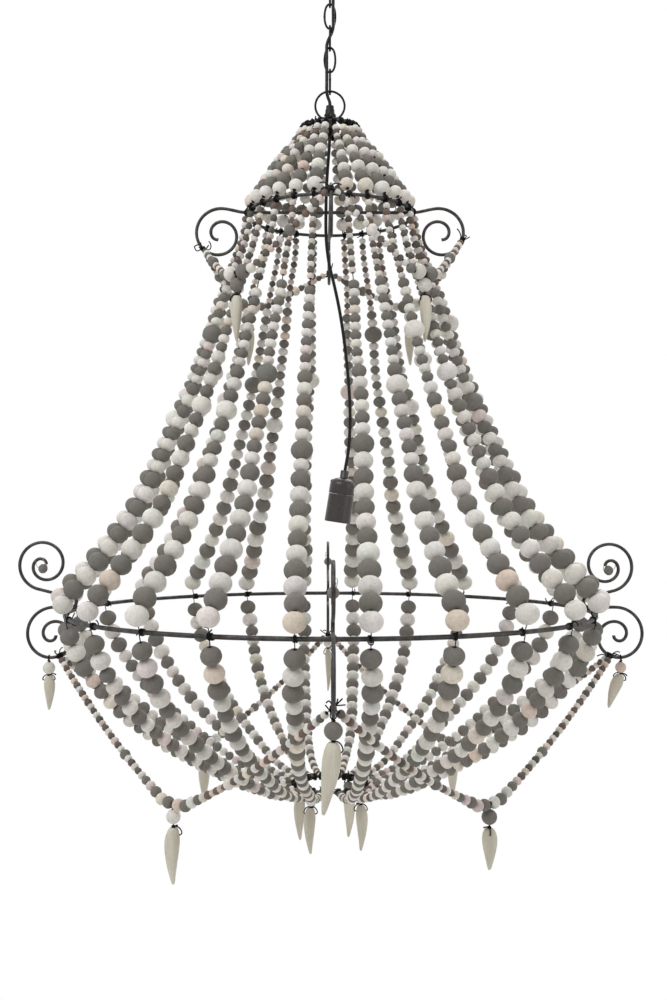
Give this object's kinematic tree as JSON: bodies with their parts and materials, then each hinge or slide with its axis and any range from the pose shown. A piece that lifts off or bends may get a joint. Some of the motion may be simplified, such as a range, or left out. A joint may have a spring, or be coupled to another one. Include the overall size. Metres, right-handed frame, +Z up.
{
  "type": "beaded chandelier",
  "caption": "Basket-shaped hanging light: an iron frame with strands of painted beads, bead swags and tooth pendants, hung from a ceiling by a chain, with a lampholder inside.",
  "frame": {"origin": "middle of the fixing plate's top face, on the ceiling", "axes": "+Z up out of the top face, -Y the side that the picture shows, +X to its right"},
  "size_m": [0.9653, 0.9724, 1.4202],
  "materials": {
    "plate_steel": "zinc plated",
    "canopy_paint": "black satin paint",
    "chain_steel": "blackened",
    "frame_iron": "blackened and waxed",
    "painted_bead": "chalk painted in greys and off-whites",
    "tooth": "off-white, sawn and smoothed",
    "bakelite": "moulded, dulled",
    "flex": "smooth black sheath"
  },
  "bodies": {
    "ceiling": {"ceiling_plate": "plate_steel", "ceiling_canopy": "canopy_paint", "canopy_hook": "chain_steel", "supply_cord": "flex"},
    "link_1": {"chain_link_1": "chain_steel"},
    "link_2": {"chain_link_2": "chain_steel"},
    "link_3": {"chain_link_3": "chain_steel"},
    "link_4": {"chain_link_4": "chain_steel"},
    "link_5": {"chain_link_5": "chain_steel"},
    "chandelier": {"hanging_loop": "chain_steel", "cord_grip": "bakelite", "crown_ring": "frame_iron", "upper_ring": "frame_iron", "main_ring": "frame_iron", "bottom_ring": "frame_iron", "crossbar_left_right": "frame_iron", "crossbar_front_back": "frame_iron", "scroll_bracket_front": "frame_iron", "scroll_bracket_right": "frame_iron", "scroll_bracket_back": "frame_iron", "scroll_bracket_left": "frame_iron", "strand_pair_01": "painted_bead", "strand_pair_02": "painted_bead", "strand_pair_03": "painted_bead", "strand_pair_04": "painted_bead", "strand_pair_05": "painted_bead", "strand_pair_06": "painted_bead", "strand_pair_07": "painted_bead", "strand_pair_08": "painted_bead", "strand_pair_09": "painted_bead", "strand_pair_10": "painted_bead", "strand_pair_11": "painted_bead", "strand_pair_12": "painted_bead", "swag_upper_1": "painted_bead", "swag_upper_2": "painted_bead", "swag_upper_3": "painted_bead", "swag_upper_4": "painted_bead", "swag_lower_1": "painted_bead", "swag_lower_2": "painted_bead", "swag_lower_3": "painted_bead", "swag_lower_4": "painted_bead", "lamp_cord": "flex"},
    "lamp": {"lampholder_cap": "bakelite", "lampholder_shell": "bakelite"},
    "pendant_bracket_front": {"pendant_bracket_front": "tooth"},
    "pendant_bracket_right": {"pendant_bracket_right": "tooth"},
    "pendant_bracket_back": {"pendant_bracket_back": "tooth"},
    "pendant_bracket_left": {"pendant_bracket_left": "tooth"},
    "pendant_swag_upper_1": {"pendant_swag_upper_1": "tooth"},
    "pendant_swag_lower_1": {"pendant_swag_lower_1": "tooth"},
    "pendant_swag_upper_2": {"pendant_swag_upper_2": "tooth"},
    "pendant_swag_lower_2": {"pendant_swag_lower_2": "tooth"},
    "pendant_swag_upper_3": {"pendant_swag_upper_3": "tooth"},
    "pendant_swag_lower_3": {"pendant_swag_lower_3": "tooth"},
    "pendant_swag_upper_4": {"pendant_swag_upper_4": "tooth"},
    "pendant_swag_lower_4": {"pendant_swag_lower_4": "tooth"},
    "pendant_ring_1": {"pendant_ring_1": "tooth"},
    "pendant_ring_2": {"pendant_ring_2": "tooth"},
    "pendant_ring_3": {"pendant_ring_3": "tooth"},
    "pendant_ring_4": {"pendant_ring_4": "tooth"}
  },
  "joints": [
    {"name": "link_1_swing", "type": "hinge", "parent": "ceiling", "child": "link_1", "pos_m": [0, 0, -0.0919], "axis": [1, 0, 0], "range_deg": [-15, 15], "deforming": ["supply_cord"]},
    {"name": "link_2_swing", "type": "hinge", "parent": "link_1", "child": "link_2", "pos_m": [0, 0, -0.125], "axis": [0, 1, 0], "range_deg": [-15, 15]},
    {"name": "link_3_swing", "type": "hinge", "parent": "link_2", "child": "link_3", "pos_m": [0, 0, -0.1586], "axis": [1, 0, 0], "range_deg": [-15, 15]},
    {"name": "link_4_swing", "type": "hinge", "parent": "link_3", "child": "link_4", "pos_m": [0, 0, -0.1922], "axis": [0, 1, 0], "range_deg": [-15, 15]},
    {"name": "link_5_swing", "type": "hinge", "parent": "link_4", "child": "link_5", "pos_m": [0, 0, -0.2258], "axis": [1, 0, 0], "range_deg": [-15, 15]},
    {"name": "chandelier_swing", "type": "hinge", "parent": "link_5", "child": "chandelier", "pos_m": [0, 0, -0.2594], "axis": [0, 1, 0], "range_deg": [-15, 15]},
    {"name": "lamp_swing", "type": "hinge", "parent": "chandelier", "child": "lamp", "pos_m": [0.016, -0.0015, -0.6026], "axis": [0, 1, 0], "range_deg": [-12, 12], "deforming": ["lamp_cord"]},
    {"name": "pendant_bracket_front_swing", "type": "hinge", "parent": "chandelier", "child": "pendant_bracket_front", "pos_m": [0, -0.44579, -1.142], "axis": [0, 0.997, -0.0771], "range_deg": [-20, 20]},
    {"name": "pendant_bracket_right_swing", "type": "hinge", "parent": "chandelier", "child": "pendant_bracket_right", "pos_m": [0.44896, 0, -1.12963], "axis": [-0.997, 0, -0.0771], "range_deg": [-20, 20]},
    {"name": "pendant_bracket_back_swing", "type": "hinge", "parent": "chandelier", "child": "pendant_bracket_back", "pos_m": [0, 0.44579, -1.142], "axis": [0, -0.997, -0.0771], "range_deg": [-20, 20]},
    {"name": "pendant_bracket_left_swing", "type": "hinge", "parent": "chandelier", "child": "pendant_bracket_left", "pos_m": [-0.43396, 0, -1.12963], "axis": [0.997, 0, -0.0771], "range_deg": [-20, 20]},
    {"name": "pendant_swag_upper_1_swing", "type": "hinge", "parent": "chandelier", "child": "pendant_swag_upper_1", "pos_m": [0.13435, -0.13435, -0.563], "axis": [0.7071, 0.7071, 0], "range_deg": [-10, 10]},
    {"name": "pendant_swag_lower_1_swing", "type": "hinge", "parent": "chandelier", "child": "pendant_swag_lower_1", "pos_m": [0.21496, -0.21496, -1.302], "axis": [0.7071, 0.7071, 0], "range_deg": [-20, 20]},
    {"name": "pendant_swag_upper_2_swing", "type": "hinge", "parent": "chandelier", "child": "pendant_swag_upper_2", "pos_m": [0.13435, 0.13435, -0.563], "axis": [-0.7071, 0.7071, 0], "range_deg": [-10, 10]},
    {"name": "pendant_swag_lower_2_swing", "type": "hinge", "parent": "chandelier", "child": "pendant_swag_lower_2", "pos_m": [0.21496, 0.21496, -1.302], "axis": [-0.7071, 0.7071, 0], "range_deg": [-20, 20]},
    {"name": "pendant_swag_upper_3_swing", "type": "hinge", "parent": "chandelier", "child": "pendant_swag_upper_3", "pos_m": [-0.13435, 0.13435, -0.563], "axis": [-0.7071, -0.7071, 0], "range_deg": [-10, 10]},
    {"name": "pendant_swag_lower_3_swing", "type": "hinge", "parent": "chandelier", "child": "pendant_swag_lower_3", "pos_m": [-0.21496, 0.21496, -1.302], "axis": [-0.7071, -0.7071, 0], "range_deg": [-20, 20]},
    {"name": "pendant_swag_upper_4_swing", "type": "hinge", "parent": "chandelier", "child": "pendant_swag_upper_4", "pos_m": [-0.13435, -0.13435, -0.563], "axis": [0.7071, -0.7071, 0], "range_deg": [-10, 10]},
    {"name": "pendant_swag_lower_4_swing", "type": "hinge", "parent": "chandelier", "child": "pendant_swag_lower_4", "pos_m": [-0.21496, -0.21496, -1.302], "axis": [0.7071, -0.7071, 0], "range_deg": [-20, 20]},
    {"name": "pendant_ring_1_swing", "type": "hinge", "parent": "chandelier", "child": "pendant_ring_1", "pos_m": [0.04644, -0.02947, -1.325], "axis": [0.5358, 0.8443, 0], "range_deg": [-20, 20]},
    {"name": "pendant_ring_2_swing", "type": "hinge", "parent": "chandelier", "child": "pendant_ring_2", "pos_m": [0.02947, 0.04644, -1.325], "axis": [-0.8443, 0.5358, 0], "range_deg": [-20, 20]},
    {"name": "pendant_ring_3_swing", "type": "hinge", "parent": "chandelier", "child": "pendant_ring_3", "pos_m": [-0.04644, 0.02947, -1.325], "axis": [-0.5358, -0.8443, 0], "range_deg": [-20, 20]},
    {"name": "pendant_ring_4_swing", "type": "hinge", "parent": "chandelier", "child": "pendant_ring_4", "pos_m": [-0.02947, -0.04644, -1.325], "axis": [0.8443, -0.5358, 0], "range_deg": [-20, 20]}
  ]
}
